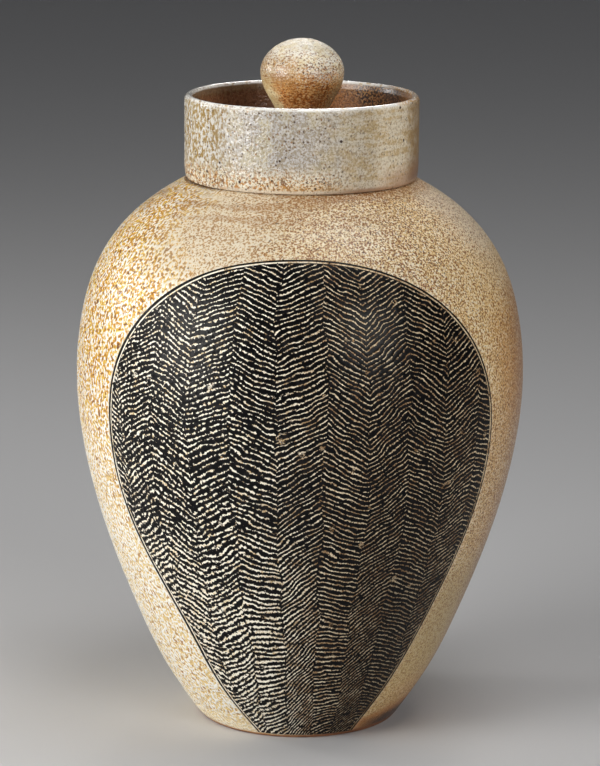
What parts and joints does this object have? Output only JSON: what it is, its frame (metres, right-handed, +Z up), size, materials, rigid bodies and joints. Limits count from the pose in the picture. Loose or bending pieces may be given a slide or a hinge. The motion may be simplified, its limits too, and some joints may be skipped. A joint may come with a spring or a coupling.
{
  "type": "stoneware canister",
  "caption": "Ovoid lidded stoneware jar with a straight collar, an inset lid on an inner ledge and a mushroom knob that lifts it off.",
  "frame": {"origin": "centre of the foot ring on the surface that the jar stands on", "axes": "+Z up along the wheel axis, -Y towards the side that carries the dark panel, +X to the viewer's right"},
  "size_m": [0.2476, 0.2476, 0.38],
  "materials": {
    "body_glaze": "salt-glazed stoneware with orange-peel texture, cream to tan",
    "collar_glaze": "salt-glazed stoneware, grey-cream with ochre flashing",
    "lid_glaze": "dark brown flashed stoneware, satin",
    "knob_glaze": "salt-glazed stoneware with brown speckle",
    "black_slip": "glossy black slip, cut through to the clay",
    "bare_foot": "unglazed toasted stoneware"
  },
  "bodies": {
    "jar": {"jar_body": "body_glaze", "neck_collar": "collar_glaze"},
    "lid": {"lid_disc": "lid_glaze", "lid_knob": "knob_glaze"}
  },
  "joints": [
    {"name": "lid_lift", "type": "slide", "parent": "jar", "child": "lid", "axis": [0, 0, 1], "range_m": [0, 0.16]}
  ]
}
